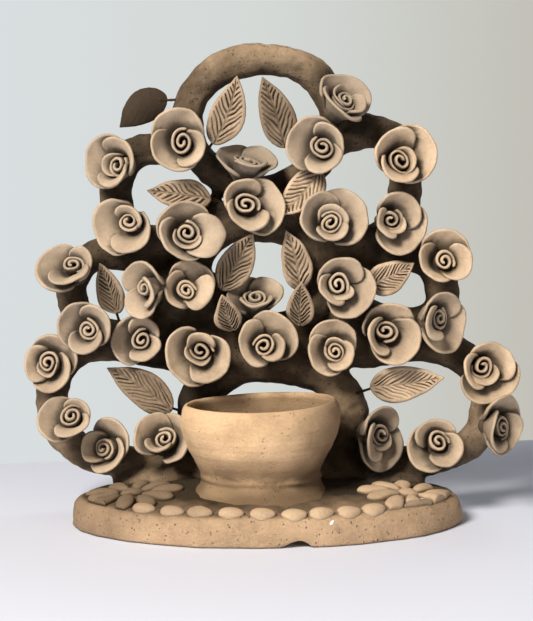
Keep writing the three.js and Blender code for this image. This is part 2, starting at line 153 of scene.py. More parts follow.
def ripple(points, wave, seed):
    """A smooth random value for each point, mostly within -1 to 1, that changes over about `wave` mm."""
    rng = np.random.default_rng(seed)
    total = np.zeros(len(points))
    for _ in range(7):
        k = rng.normal(size=3)
        k *= 2 * math.pi / (wave * rng.uniform(0.8, 1.7)) / np.linalg.norm(k)
        total += np.sin(points @ k + rng.uniform(0, 2 * math.pi))
    return total / 2.6


def smooth_step(x, low, high):
    t = np.clip((x - low) / (high - low), 0, 1)
    return t * t * (3 - 2 * t)


def eased(n):
    """n values from 0 to 1, packed closer near both ends."""
    return (1 - np.cos(np.linspace(0, math.pi, n))) / 2


def make_mesh(name, points, faces, material, **values):
    """A smooth-shaded mesh object from points in mm, with float attributes on its points."""
    mesh = bpy.data.meshes.new(name)
    mesh.from_pydata((np.asarray(points) * MM).tolist(), [], [tuple(f) for f in faces])
    mesh.validate()
    for key, value in values.items():
        attribute = mesh.attributes.new(key, "FLOAT", "POINT")
        attribute.data.foreach_set("value", np.asarray(value, np.float32))
    mesh.shade_smooth()
    mesh.materials.append(material)
    thing = bpy.data.objects.new(name, mesh)
    bpy.context.scene.collection.objects.link(thing)
    return thing


def points_of(thing):
    flat = np.zeros(len(thing.data.vertices) * 3)
    thing.data.vertices.foreach_get("co", flat)
    return flat.reshape(-1, 3) / MM


def normals_of(thing):
    flat = np.zeros(len(thing.data.vertices) * 3)
    thing.data.vertices.foreach_get("normal", flat)
    return flat.reshape(-1, 3)


def put_points(thing, points):
    thing.data.vertices.foreach_set("co", (points * MM).astype(np.float32).ravel())
    thing.data.update()


def set_value(thing, key, value):
    attribute = thing.data.attributes.get(key) or thing.data.attributes.new(key, "FLOAT", "POINT")
    attribute.data.foreach_set("value", np.asarray(value, np.float32))


def grid_normal(middle):
    normal = np.cross(np.gradient(middle, axis=0), np.gradient(middle, axis=1))
    return normal / (np.linalg.norm(normal, axis=2, keepdims=True) + 1e-9)


def sheet_shell(middle, thickness):
    """A closed sheet round a grid of middle points. thickness is 0 on the border, where both faces meet."""
    normal = grid_normal(middle)
    half = thickness[..., None] / 2
    front, back = middle + normal * half, middle - normal * half
    nu, nv = middle.shape[:2]
    index = np.arange(nu * nv).reshape(nu, nv)
    behind = index.copy()
    inner = (slice(1, -1), slice(1, -1))
    behind[inner] = nu * nv + np.arange((nu - 2) * (nv - 2)).reshape(nu - 2, nv - 2)
    points = np.vstack([front.reshape(-1, 3), back[inner].reshape(-1, 3)])

    def quads(ix):
        return np.stack([ix[:-1, :-1], ix[1:, :-1], ix[1:, 1:], ix[:-1, 1:]], -1).reshape(-1, 4)

    faces = np.vstack([quads(index), quads(behind)[:, ::-1]])
    return points, faces, inner


def both_sides(values, inner):
    return np.concatenate([values.ravel(), values[inner].ravel()])


def border_round(across, along, full):
    """Thickness from the distance to the nearest border, so that the rim is round."""
    near = np.minimum(across, along)
    t = np.clip(near / (full * 0.55), 0, 1)
    return full * np.sqrt(np.clip(1 - (1 - t) ** 2, 0, 1))


def bezier(t, p0, p1, p2, p3):
    s = 1 - t
    return [
        s ** 3 * a + 3 * s * s * t * b + 3 * s * t * t * c + t ** 3 * d for a, b, c, d in zip(p0, p1, p2, p3)
    ]


def rotate(x, y, turn):
    c, s = math.cos(turn), math.sin(turn)
    return x * c - y * s, x * s + y * c


def spun(profile, steps):
    """A closed surface from a profile of (radius, height) whose two ends are on the axis."""
    angles = np.arange(steps) * 2 * math.pi / steps
    rings = [
        np.stack([r * np.cos(angles), r * np.sin(angles), np.full(steps, z)], 1) for r, z in profile[1:-1]
    ]
    points = np.vstack([*rings, [[0, 0, profile[0][1]], [0, 0, profile[-1][1]]]])
    faces = []
    for k in range(len(rings) - 1):
        for i in range(steps):
            j = (i + 1) % steps
            faces.append((k * steps + i, k * steps + j, (k + 1) * steps + j, (k + 1) * steps + i))
    first, last, top = len(rings) * steps, len(rings) * steps + 1, (len(rings) - 1) * steps
    for i in range(steps):
        j = (i + 1) % steps
        faces.append((first, j, i))
        faces.append((last, top + i, top + j))
    return points, faces


class Heap:
    """Collects several closed shells into one mesh."""

    def __init__(self):
        self.points, self.faces, self.depth, self.count = [], [], [], 0

    def add(self, points, faces, depth):
        self.points.append(points)
        self.faces += [tuple(int(i) + self.count for i in f) for f in faces]
        self.depth.append(depth)
        self.count += len(points)

    def all(self):
        return np.vstack(self.points), self.faces, np.concatenate(self.depth)


# Materials

def ramp(nodes, stops):
    node = nodes.new("ShaderNodeValToRGB")
    while len(node.color_ramp.elements) < len(stops):
        node.color_ramp.elements.new(0.5)
    for element, (place, colour) in zip(node.color_ramp.elements, stops):
        element.position = place
        element.color = (*colour, 1)
    return node


def clay(name, light, mid, dark, soot_and_shade_colour, speck, grain, patch=28.0, stain=0.0, rough=0.35, tint_and_highlight_colour=None):
    """Unglazed low-fired clay: cloudy tone, sand specks, pits, wiped streaks, smoke smears, soot mixed with
    painted shade, and a second tint that also carries painted light and a painted highlight.

    speck is how many dark specks show, grain the scale of the fine detail, patch the size of the clouds in
    mm, stain how much smoke is smeared on, and rough the depth of the bump in mm.
    """
    material = bpy.data.materials.new(name)
    material.use_nodes = True
    nodes, links = material.node_tree.nodes, material.node_tree.links
    shader = nodes["Principled BSDF"]
    place = nodes.new("ShaderNodeTexCoord").outputs["Object"]

    def noise(size_mm, detail=4.0, rough=0.6, vector=place):
        node = nodes.new("ShaderNodeTexNoise")
        node.inputs["Scale"].default_value = 1 / (size_mm * MM)
        node.inputs["Detail"].default_value = detail
        node.inputs["Roughness"].default_value = rough
        links.new(vector, node.inputs["Vector"])
        return node.outputs["Fac"]

    def mix(kind, fac, a, b):
        node = nodes.new("ShaderNodeMix")
        node.data_type = "RGBA"
        node.blend_type = kind
        for socket, value in (("Factor", fac), ("A", a), ("B", b)):
            target = [s for s in node.inputs if s.name == socket and s.enabled][0]
            if hasattr(value, "links"):
                links.new(value, target)
            else:
                target.default_value = value
        return [s for s in node.outputs if s.enabled][0]

    def scaled(value, low, high, to_low=0.0, to_high=1.0):
        node = nodes.new("ShaderNodeMapRange")
        node.inputs["From Min"].default_value = low
        node.inputs["From Max"].default_value = high
        node.inputs["To Min"].default_value = to_low
        node.inputs["To Max"].default_value = to_high
        links.new(value, node.inputs["Value"])
        return node.outputs["Result"]

    def read(key):
        node = nodes.new("ShaderNodeAttribute")
        node.attribute_name = key
        return node.outputs["Fac"]

    cloud = ramp(nodes, [(0.3, dark), (0.5, mid), (0.72, light)])
    links.new(noise(patch, 5), cloud.inputs["Fac"])
    colour = cloud.outputs["Color"]
    fine = scaled(noise(1.6 * grain, 6, 0.75), 0.35, 0.68)
    colour = mix("MULTIPLY", 0.35, colour, ramp_of(nodes, links, fine, (0.62, 0.56, 0.5), (1.12, 1.1, 1.06)))
    grit = nodes.new("ShaderNodeTexVoronoi")
    grit.inputs["Scale"].default_value = 1 / (2.1 * grain * MM)
    links.new(place, grit.inputs["Vector"])
    dots = scaled(grit.outputs["Distance"], 0.1, 0.26, 1, 0)
    rare = scaled(noise(5.5 * grain, 2), 0.57 - 0.12 * speck, 0.67 - 0.12 * speck)
    spots = nodes.new("ShaderNodeMath")
    spots.operation = "MULTIPLY"
    links.new(dots, spots.inputs[0])
    links.new(rare, spots.inputs[1])
    shown = nodes.new("ShaderNodeMath")
    shown.operation = "MULTIPLY"
    shown.inputs[1].default_value = speck
    links.new(spots.outputs[0], shown.inputs[0])
    colour = mix("MIX", shown.outputs[0], colour, (dark[0] * 0.4, dark[1] * 0.36, dark[2] * 0.32, 1))
    if stain:
        smear = scaled(noise(17, 6, 0.7), 0.5, 0.68, 0, stain)
        colour = mix("MIX", smear, colour, (*soot_and_shade_colour, 1))
    # Soot together with painted shade, from the per-point attribute
    colour = mix("MIX", read("soot"), colour, (*soot_and_shade_colour, 1))
    # A second tint from a per-point attribute: a greyer tone on roses, and painted light and a painted
    # highlight on the coils
    tint_and_highlight_colour = tint_and_highlight_colour or (light[0] * 1.12, light[1] * 1.1, light[2] * 1.05)
    colour = mix("MIX", read("wear"), colour, (*tint_and_highlight_colour, 1))
    links.new(colour, shader.inputs["Base Color"])
    links.new(scaled(noise(2.5, 4), 0.3, 0.7, 0.78, 0.98), shader.inputs["Roughness"])
    shader.inputs["Specular IOR Level"].default_value = 0.22

    stretch = nodes.new("ShaderNodeMapping")
    stretch.inputs["Scale"].default_value = (0.35, 0.35, 1.6)
    links.new(place, stretch.inputs["Vector"])
    streak = noise(1.5 * grain, 3, 0.6, stretch.outputs["Vector"])
    height = nodes.new("ShaderNodeMath")
    height.operation = "ADD"
    links.new(noise(1.3 * grain, 8, 0.78), height.inputs[0])
    links.new(scaled(streak, 0, 1, 0, 0.3), height.inputs[1])
    sunk = nodes.new("ShaderNodeMath")
    sunk.operation = "SUBTRACT"
    links.new(height.outputs[0], sunk.inputs[0])
    links.new(spots.outputs[0], sunk.inputs[1])
    bump = nodes.new("ShaderNodeBump")
    bump.inputs["Strength"].default_value = 0.75
    bump.inputs["Distance"].default_value = rough * MM * grain
    links.new(sunk.outputs[0], bump.inputs["Height"])
    links.new(bump.outputs["Normal"], shader.inputs["Normal"])
    return material


def ramp_of(nodes, links, value, low, high):
    node = ramp(nodes, [(0, low), (1, high)])
    links.new(value, node.inputs["Fac"])
    return node.outputs["Color"]


def iron(name):
    material = bpy.data.materials.new(name)
    material.use_nodes = True
    nodes, links = material.node_tree.nodes, material.node_tree.links
    shader = nodes["Principled BSDF"]
    place = nodes.new("ShaderNodeTexCoord").outputs["Object"]
    rust = nodes.new("ShaderNodeTexNoise")
    rust.inputs["Scale"].default_value = 900
    rust.inputs["Detail"].default_value = 5
    links.new(place, rust.inputs["Vector"])
    tone = ramp(nodes, [(0.35, (0.02, 0.015, 0.012)), (0.65, (0.11, 0.05, 0.025))])
    links.new(rust.outputs["Fac"], tone.inputs["Fac"])
    links.new(tone.outputs["Color"], shader.inputs["Base Color"])
    shader.inputs["Metallic"].default_value = 0.6
    rough = nodes.new("ShaderNodeMapRange")
    rough.inputs["To Min"].default_value = 0.45
    rough.inputs["To Max"].default_value = 0.8
    links.new(rust.outputs["Fac"], rough.inputs["Value"])
    links.new(rough.outputs["Result"], shader.inputs["Roughness"])
    return material


def plain(name, colour):
    material = bpy.data.materials.new(name)
    material.use_nodes = True
    shader = material.node_tree.nodes["Principled BSDF"]
    shader.inputs["Base Color"].default_value = (*colour, 1)
    shader.inputs["Roughness"].default_value = 0.7
    return material


ROSE_CLAY = clay(
    "rose_clay", light=(0.71, 0.56, 0.405), mid=(0.565, 0.435, 0.305), dark=(0.41, 0.31, 0.215),
    soot_and_shade_colour=(0.034, 0.024, 0.015), speck=0.15, grain=0.8, patch=16, tint_and_highlight_colour=(0.34, 0.30, 0.255),
)
LEAF_CLAY = clay(
    "leaf_clay", light=(0.66, 0.51, 0.365), mid=(0.52, 0.395, 0.275), dark=(0.36, 0.265, 0.18),
    soot_and_shade_colour=(0.030, 0.020, 0.012), speck=0.2, grain=0.8, patch=14,
)
COIL_CLAY = clay(
    "coil_clay", light=(0.45, 0.335, 0.225), mid=(0.27, 0.195, 0.125), dark=(0.135, 0.092, 0.057),
    soot_and_shade_colour=(0.016, 0.011, 0.006), speck=0.9, grain=1.2, patch=18, stain=0.35, rough=1.5,
)
BOWL_CLAY = clay(
    "bowl_clay", light=(0.72, 0.51, 0.32), mid=(0.65, 0.455, 0.275), dark=(0.52, 0.36, 0.215),
    soot_and_shade_colour=(0.13, 0.085, 0.048), speck=0.45, grain=1.1, patch=30, rough=0.9,
)
PLINTH_CLAY = clay(
    "plinth_clay", light=(0.66, 0.465, 0.30), mid=(0.55, 0.385, 0.245), dark=(0.40, 0.28, 0.18),
    soot_and_shade_colour=(0.045, 0.030, 0.016), speck=0.8, grain=1.2, patch=26, stain=0.25, rough=1.7,
)
RELIEF_CLAY = clay(
    "relief_clay", light=(0.60, 0.45, 0.30), mid=(0.49, 0.36, 0.24), dark=(0.36, 0.26, 0.17),
    soot_and_shade_colour=(0.045, 0.030, 0.016), speck=0.3, grain=0.9,
)
IRON = iron("iron_wire")


# Roses

def local_axes(look):
    turn, tilt = map(math.radians, look)
    right = np.array([math.cos(turn), math.sin(turn), 0])
    facing = np.array([math.sin(turn) * math.cos(tilt), -math.cos(turn) * math.cos(tilt), math.sin(tilt)])
    return right, np.cross(facing, right), facing


def cad_points(node):
    return np.unique(np.round(points_of(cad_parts[node]), 3), axis=0)


COIL_POINTS = np.vstack([cad_points(node) for node in COILS])


PETAL_SHARES = (0.26, 0.44, 0.80, 1.0)


def petal(
    heap, radius, bud, direction, half, reach, flare, layer, rng,
    steps=(35, 19), thick=2.7, low=PETAL_SHARES,
):
    """A round cupped petal: it rises steeply beside the bud and opens out to a thick rounded lip.

    low holds its distance from the axis at the four control points from foot to lip, as shares of radius.
    """
    u, v = 1 - 2 * eased(steps[0]), eased(steps[1])
    ends = rng.uniform(0.42, 0.55)
    lip = 1 - (1 - ends) * np.abs(u) ** rng.uniform(3.2, 4.2)
    lip += 0.025 * np.sin(u * rng.uniform(3, 5) + rng.uniform(0, 6))
    t = v[None, :] * lip[:, None]
    share, height = bezier(
        t, (low[0], -0.84), (low[1], -0.44), (low[2], -0.33 + 0.32 * flare), (low[3], 0.02 - 0.10 * flare)
    )
    angle = math.radians(direction) + math.radians(half) * u[:, None] + 0 * t
    sway = 1 + 0.035 * np.sin(2 * angle + rng.uniform(0, 6))
    r = share * reach * radius * sway
    away = 1 - smooth_step(share, 0.35, 0.95)
    x = r * np.cos(angle) + bud[0] * away
    y = r * np.sin(angle) + bud[1] * away
    z = height * radius + 0.8 * np.sin(3 * angle + rng.uniform(0, 6)) * t ** 2
    middle = np.stack([x, y, z], -1)
    tuck = layer * (thick + 0.15) + rng.uniform(0.1, 0.5) * u[:, None] * layer
    middle = middle + grid_normal(middle) * (tuck * (0.35 + 0.65 * smooth_step(t, 0.2, 0.8)))[..., None]
    across = (1 - np.abs(u))[:, None] * math.radians(half) * radius * 0.62 + 0 * t
    along = np.minimum((1 - v)[None, :] * radius * 1.15 * lip[:, None], v[None, :] * radius)
    full = thick * (1 - 0.34 * t)
    points, faces, inner = sheet_shell(middle, border_round(across, along, full))
    # Painted shade: darker deep in the cup towards the bud; the back face is made darker too, more so towards
    # the foot
    depth = 0.16 * smooth_step(-height, 0.0, 0.22) + 0.60 * smooth_step(-height, 0.16, 0.56)
    behind = 0.3 + 0.4 * smooth_step(-height, 0.1, 0.6)
    heap.add(points, faces, np.concatenate([depth.ravel(), behind[inner].ravel()]))


def bud_strip(heap, radius, bud, rng):
    """A strip of clay rolled into a spiral, thick at its rounded upper edge."""
    n, m = 74, 12
    u, v = eased(n) * 0.35 + np.linspace(0, 1, n) * 0.65, eased(m)
    turns, hand = rng.uniform(1.8, 2.2), rng.choice([-1, 1])
    angle = rng.uniform(0, 2 * math.pi) + hand * 2 * math.pi * turns * u[:, None] + 0 * v[None, :]
    inner_r, outer_r = 0.055 * radius, rng.uniform(0.32, 0.355) * radius
    path = inner_r + (outer_r - inner_r) * u[:, None] ** 0.92
    opened = 1 + 0.10 * (v[None, :] ** 2) * u[:, None]
    squeezed = 1 + 0.09 * np.cos(2 * angle + rng.uniform(0, 6))
    r = path * opened * squeezed
    top = 0.02 - 0.12 * u[:, None] + 0.03 * np.sin(angle * 0.9 + rng.uniform(0, 6))
    z = radius * (-0.78 + (top + 0.78) * v[None, :])
    lean = rng.uniform(-0.05, 0.05, 2)
    x = r * np.cos(angle) + bud[0] + lean[0] * (z + 0.5 * radius)
    y = r * np.sin(angle) + bud[1] + lean[1] * (z + 0.5 * radius)
    middle = np.stack([x, y, z + 0 * x], -1)
    thick = 1.9
    across = np.minimum(u, 1 - u)[:, None] * 90 + 0 * z
    along = np.minimum(v, 1 - v)[None, :] * radius * 0.85 + 0 * z
    points, faces, inner = sheet_shell(middle, border_round(across, along, thick))
    # Painted shade: the rolled strip darkens towards its foot, down in the gaps between its turns
    depth = 0.95 * smooth_step(-(z + 0 * x) / radius + top, 0.07, 0.30)
    heap.add(points, faces, both_sides(depth, inner))


# The knob of clay under the bud, which closes the rose's back, as shares of the radius
CORE = [
    (0, -0.95), (0.12, -0.94), (0.24, -0.88), (0.34, -0.76),
    (0.40, -0.62), (0.36, -0.5), (0.2, -0.42), (0, -0.4),
]


def rose(name, look, r, bud, wrap, tone, petals):
    seed = int(name[-2:])
    r = r * 1.045
    rng = np.random.default_rng(100 + seed)
    right, up, facing = local_axes(look)
    cad = cad_points(name)
    along = cad @ facing
    cap = cad[along > along.max() - 0.2 * r]
    centre = cap.mean(0)
    centre += facing * (along.max() - 0.12 * r / 1.04 - centre @ facing)
    heap = Heap()
    for layer, (direction, half, reach, flare) in enumerate(petals):
        petal(heap, r, bud, direction, half, reach, flare, layer, rng)
    if wrap is not None:
        petal(
            heap, r, bud, wrap, 112, 1.0, 0.5, 1.0, rng, (27, 13), 1.9,
            (0.30, 0.36, 0.42, rng.uniform(0.52, 0.6)),
        )
    bud_strip(heap, r, bud, rng)
    points, faces = spun([(a * r, b * r) for a, b in CORE], 20)
    points[:, :2] += np.array(bud) * 0.6
    # Painted shade: the knob is dark where it sits down among the petals and bud, lighter at its back
    heap.add(points, faces, np.where(points[:, 2] > -0.8 * r, 1.0, 0.3))
    points, faces, depth = heap.all()
    points = points + 0.28 * np.stack([ripple(points, 11, seed * 7 + k) for k in range(3)], 1)
    points = points + 0.07 * np.stack([ripple(points, 3.2, seed * 11 + k) for k in range(3)], 1)
    placed = centre + points[:, :1] * right + points[:, 1:2] * up + points[:, 2:] * facing
    # Painted shade deep in the cups and round the bud, darkened further and tinted greyer by tone
    soot = 1 - (1 - np.clip(depth, 0, 1) * 0.9) * (1 - 0.45 * tone)
    made = make_mesh(name + "_clay", placed, faces, ROSE_CLAY, soot=soot, wear=0.7 * tone * (1 - soot))
    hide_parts(name)
    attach(made, "tree")
    behind = cad[(cad - centre) @ facing < -0.98 * r]
    if len(behind):
        far = (behind - centre) @ facing
        end = behind[far < far.min() + 2].mean(0)
        wire(name + "_wire", centre - facing * 0.7 * r, end, "tree")
    return centre


# Leaves

def leaf(name, tone, base, tip, wide, lean, free=True, steep=None, back=False):
    seed = 40 + int(name[-2:])
    rng = np.random.default_rng(seed)
    base, tip = np.array(base, float), np.array(tip, float)
    length = np.linalg.norm(tip - base)
    along = (tip - base) / length
    lean_up, lean_right = map(math.radians, lean)
    face = np.array([math.sin(lean_right), -math.cos(lean_right) * math.cos(lean_up), math.sin(lean_up)])
    face -= along * (face @ along)
    face /= np.linalg.norm(face) * (-1 if back else 1)
    side = np.cross(along, face)
    n, m = 61, 121
    u, v = 2 * eased(n) - 1, eased(m) * 0.25 + np.linspace(0, 1, m) * 0.75
    outline = np.sin(math.pi * v ** 0.72) ** 0.78 * (1 - 0.18 * smooth_step(v, 0.75, 1))
    half = np.maximum(wide / 2 * 1.04 * outline, 0.25)
    x = u[:, None] * half[None, :]
    y = v[None, :] * length * 1.03 - 0.015 * length + 0 * x
    bend = rng.uniform(-0.05, 0.05) * length * np.sin(math.pi * v)
    sunk = 3.0 * (x / (wide / 2)) ** 2 + 2.6 * (v[None, :] - 0.45) ** 2 * 1.4
    middle = np.stack([x + bend[None, :], y, sunk + 0 * x], -1)
    edge = (half[None, :] - np.abs(x))
    ends = np.minimum(v, 1 - v)[None, :] * length + 0 * x
    full = 3.3 * (0.55 + 0.45 * np.sin(math.pi * np.clip(v + 0.1, 0, 1)))[None, :] + 0 * x
    points, faces, inner = sheet_shell(middle, border_round(edge, ends, full))

    pitch = length / rng.uniform(9, 10.5)
    slope = steep or rng.uniform(1.1, 1.45)
    lift = y - slope * np.abs(x) - 0.012 * x * x + np.where(x > 0, pitch * 0.45, 0)
    lift = lift + 0.6 * np.sin(y * 0.42 + rng.uniform(0, 6))
    lift = lift + 0.35 * np.sin(x * 0.8 + y * 0.3 + rng.uniform(0, 6))
    vein = np.floor(lift / pitch).astype(int) + 40 * (x > 0)
    astray, firm = rng.uniform(-0.11, 0.11, 200)[vein], rng.uniform(0.55, 1.1, 200)[vein]
    across = np.abs((lift / pitch) % 1 - 0.5 + astray) * pitch * 0.68
    reach = smooth_step(edge, 1.0, 1.9) * smooth_step(np.abs(x), 0.25, 0.9)
    reach = reach * smooth_step(v, 0.02, 0.08)[None, :] * (1 - smooth_step(v, 0.93, 0.985))[None, :]
    run_out = np.abs(x) / np.maximum(half[None, :], 1)
    wide_cut = (0.52 - 0.22 * run_out) * (0.6 + 0.4 * firm)
    cut = np.exp(-(across / wide_cut) ** 2) * reach * firm * (1 - 0.35 * run_out)
    heap_up = np.exp(-((across - 1.05) / 0.4) ** 2) * reach
    rib_place = 0.25 * np.sin(y * 0.2 + rng.uniform(0, 6))
    rib = np.exp(-((x - rib_place) / 0.42) ** 2) * smooth_step(1 - v, 0.01, 0.12)[None, :]
    deep = -1.6 * cut - 0.7 * rib + 0.3 * heap_up
    carve = np.concatenate([deep.ravel(), np.zeros(len(points) - deep.size)])
    shift = np.vstack([grid_normal(middle).reshape(-1, 3), np.zeros((len(points) - deep.size, 3))])
    points = points + shift * carve[:, None]
    points = points + 0.3 * np.stack([ripple(points, 14, seed * 5 + k) for k in range(3)], 1)
    points = points + 0.05 * np.stack([ripple(points, 2.6, seed * 9 + k) for k in range(3)], 1)
    placed = base + points[:, :1] * side + points[:, 1:2] * along + points[:, 2:] * face
    # Painted shade in the vein grooves and along the midrib, with tone darkening the whole leaf
    darkness = 1 - (1 - 0.95 * np.clip(cut * 1.4, 0, 1)) * (1 - 0.45 * rib) * (1 - 0.85 * tone)
    # Darker towards the base end
    under = 0.55 * (1 - smooth_step(v, 0.0, 0.35))[None, :] + 0 * x
    soot = np.concatenate([np.maximum(darkness, under).ravel(), np.maximum(0.15, under)[inner].ravel()])
    # The leaf whose back shows is painted nearly black: painted shade
    if back:
        soot = np.full(len(points), 0.97)
    made = make_mesh(name + "_clay", placed, faces, LEAF_CLAY, soot=soot, wear=np.zeros(len(placed)))
    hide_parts(name)
    body = name + "_on_wire" if free else "tree"
    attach(made, body)
    cad = cad_points(name)
    if back:
        face = -face
    to_coil = np.array([np.linalg.norm(COIL_POINTS - point, axis=1).min() for point in cad])
    end = cad[to_coil.argmin()]
    wire(name + "_wire", base + along * 5 + face * 0.6, end, body, 3.5)


def wire(name, start, end, body, extra=2.5):
    """A bent iron stem from inside the clay to a little way into the coil."""
    start, end = np.array(start, float), np.array(end, float)
    run = end - start
    length = np.linalg.norm(run)
    end = end + run / length * extra
    seed = sum(ord(c) for c in name)
    rng = np.random.default_rng(seed)
    n, sides = 15, 10
    t = np.linspace(0, 1, n)
    run = run / length
    side = np.cross(run, [0.3, 0.1, 1.0])
    side /= np.linalg.norm(side)
    other = np.cross(run, side)
    sag = rng.uniform(-0.5, 0.5, 2)
    line = start + (end - start) * t[:, None]
    line += np.sin(math.pi * t)[:, None] * (sag[0] * side + sag[1] * other)
    rings, faces = [], []
    for k in range(n):
        angles = np.arange(sides) * 2 * math.pi / sides
        r = WIRE_RADIUS * (1 + 0.06 * math.sin(k * 1.7))
        rings.append(line[k] + r * (np.cos(angles)[:, None] * side + np.sin(angles)[:, None] * other))
    points = np.vstack([*rings, [line[0]], [line[-1]]])
    for k in range(n - 1):
        for i in range(sides):
            j = (i + 1) % sides
            faces.append((k * sides + i, (k + 1) * sides + i, (k + 1) * sides + j, k * sides + j))
    for i in range(sides):
        j = (i + 1) % sides
        faces.append((n * sides, i, j))
        faces.append((n * sides + 1, (n - 1) * sides + j, (n - 1) * sides + i))
    made = make_mesh(name, points, faces, IRON)
    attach(made, body)


centres = {name: rose(name, **facts) for name, facts in ROSES.items()}
for name, facts in LEAVES.items():
    leaf(name, **facts)


# Lattice

def remeshed(thing, voxel, rounds):
    bpy.context.view_layer.objects.active = thing
    remesh = thing.modifiers.new("fuse", "REMESH")
    remesh.mode = "VOXEL"
    remesh.voxel_size = voxel * MM
    soften = thing.modifiers.new("soften", "SMOOTH")
    soften.factor = 0.5
    soften.iterations = rounds
    graph = bpy.context.evaluated_depsgraph_get()
    mesh = bpy.data.meshes.new_from_object(thing.evaluated_get(graph))
    thing.modifiers.clear()
    thing.data = mesh
    return thing


def blob(centre, size, turn=0.0):
    profile = [(math.sin(math.pi * k / 14), -math.cos(math.pi * k / 14)) for k in range(15)]
    points, faces = spun(profile, 24)
    points = points * np.array(size)
    x, z = rotate(points[:, 0], points[:, 2], math.radians(turn))
    return np.stack([x, points[:, 1], z], 1) + np.array(centre), faces


def lattice():
    heap = Heap()
    for node in COILS:
        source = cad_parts[node].data
        raw = points_of(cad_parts[node])
        keys, index = np.unique(np.round(raw, 2), axis=0, return_inverse=True)
        index = index.ravel()
        source.calc_loop_triangles()
        faces = [tuple(index[i] for i in t.vertices) for t in source.loop_triangles]
        faces = [f for f in faces if len(set(f)) == 3]
        corner = keys[np.array(faces)]
        face_normal = np.cross(corner[:, 1] - corner[:, 0], corner[:, 2] - corner[:, 0])
        normal = np.zeros_like(keys)
        for k in range(3):
            np.add.at(normal, np.array(faces)[:, k], face_normal)
        normal /= np.linalg.norm(normal, axis=1, keepdims=True) + 1e-9
        heap.add(keys + 0.55 * normal, faces, np.zeros(len(keys)))
    lumps = [
        ((0, 36, 20), (96, 26, 14), 0), ((-47, 33, 24), (22, 20, 15), 20), ((50, 33, 24), (22, 20, 15), -20),
        ((45, 34, 66), (11, 12, 15), 10), ((-44, 34, 66), (10, 12, 14), -10),
        ((-18, 36, 99), (20, 8, 9), -8), ((25, 36, 99), (20, 8, 9), 5), ((44, 36, 113), (9, 8, 12), 0),
        ((41, 36, 156), (10, 8, 9), 0), ((-46, 36, 108), (12, 8, 14), 0), ((0, 36, 182), (24, 8, 12), 0),
        ((-48, 36, 160), (10, 8, 10), 0), ((56, 36, 108), (12, 8, 10), 0), ((-28, 36, 134), (8, 8, 10), 0),
        ((-68, 32, 17), (27, 23, 11), 0), ((68, 32, 16), (27, 23, 10), 0),
    ]
    for centre, size, turn in lumps:
        points, faces = blob(centre, size, turn)
        heap.add(points, faces, np.zeros(len(points)))
    points, faces, _ = heap.all()
    made = make_mesh("coil_lattice", points, faces, COIL_CLAY)
    made = remeshed(made, 1.35, 9)
    made.name = "coil_lattice"
    points = points_of(made)
    normal = normals_of(made)
    swell = 0.7 * ripple(points, 38, 901) + 0.4 * ripple(points, 15, 902) + 0.2 * ripple(points, 5, 903)
    points = points + normal * swell[:, None]
    points[:, 2] = np.maximum(points[:, 2], 1.0)
    put_points(made, points)
    places = np.array(list(centres.values()))
    gap = np.full(len(points), 1e9)
    for place in places:
        gap = np.minimum(gap, np.linalg.norm((points - place) * [1, 0.75, 1], axis=1))
    x, _, z = points.T

    def spot(middle_x, reach_x, middle_z, reach_z):
        return np.exp(-(((x - middle_x) / reach_x) ** 2 + ((z - middle_z) / reach_z) ** 2))

    # Painted shade on the coils behind the roses, darker closer to a rose
    soot = 0.80 * (1 - smooth_step(gap, 22, 37))
    # Darker below the top of the ring, which is left lighter: painted highlight along the top
    soot = np.maximum(soot, 0.52 * (1 - smooth_step(z, 254, 276)))
    # Painted shade on the left of the trunk, behind the bowl and leaf_11
    soot += 0.7 * spot(-46, 16, 70, 24)
    # Painted light: places where light falls get less darkening and a lighter tint
    painted_light_spots = spot(126, 16, 60, 22) + spot(-128, 18, 42, 22)
    painted_light_spots += 0.9 * np.exp(-((x + 72) / 30) ** 2) * (1 - smooth_step(z, 30, 48))
    painted_light_spots += spot(47, 10, 66, 16) + 0.6 * spot(25, 14, 82, 9)
    soot = np.clip(soot * (1 - 0.75 * np.clip(painted_light_spots, 0, 1)) + 0.08 * ripple(points, 16, 904), 0, 0.95)
    set_value(made, "soot", soot)
    # Lighter tint: painted light on the lit places and a painted highlight along the top of the ring
    set_value(made, "wear", 0.12 * np.clip(painted_light_spots, 0, 1) + 0.3 * smooth_step(z, 262, 278))
    made.data.shade_smooth()
    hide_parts(*COILS)
    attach(made, "tree")


lattice()


# Plinth and bowl

# From the middle of the underside round the rim to the middle of the top: (share of the half width, height)
PLINTH_OUTLINE = [
    (0, 0), (0.3, 0), (0.6, 0), (0.85, 0), (0.985, 0.1), (1.001, 0.5), (1.004, 3), (1.003, 6.5), (0.999, 9),
    (0.992, 12.0), (0.980, 14.2), (0.962, 15.8), (0.93, 16.9), (0.87, 17.9), (0.8, 18.7), (0.7, 19.6),
    (0.6, 20.4), (0.5, 21.1), (0.4, 21.6), (0.3, 22), (0.2, 22.2), (0.1, 22.3), (0, 22.3),
]


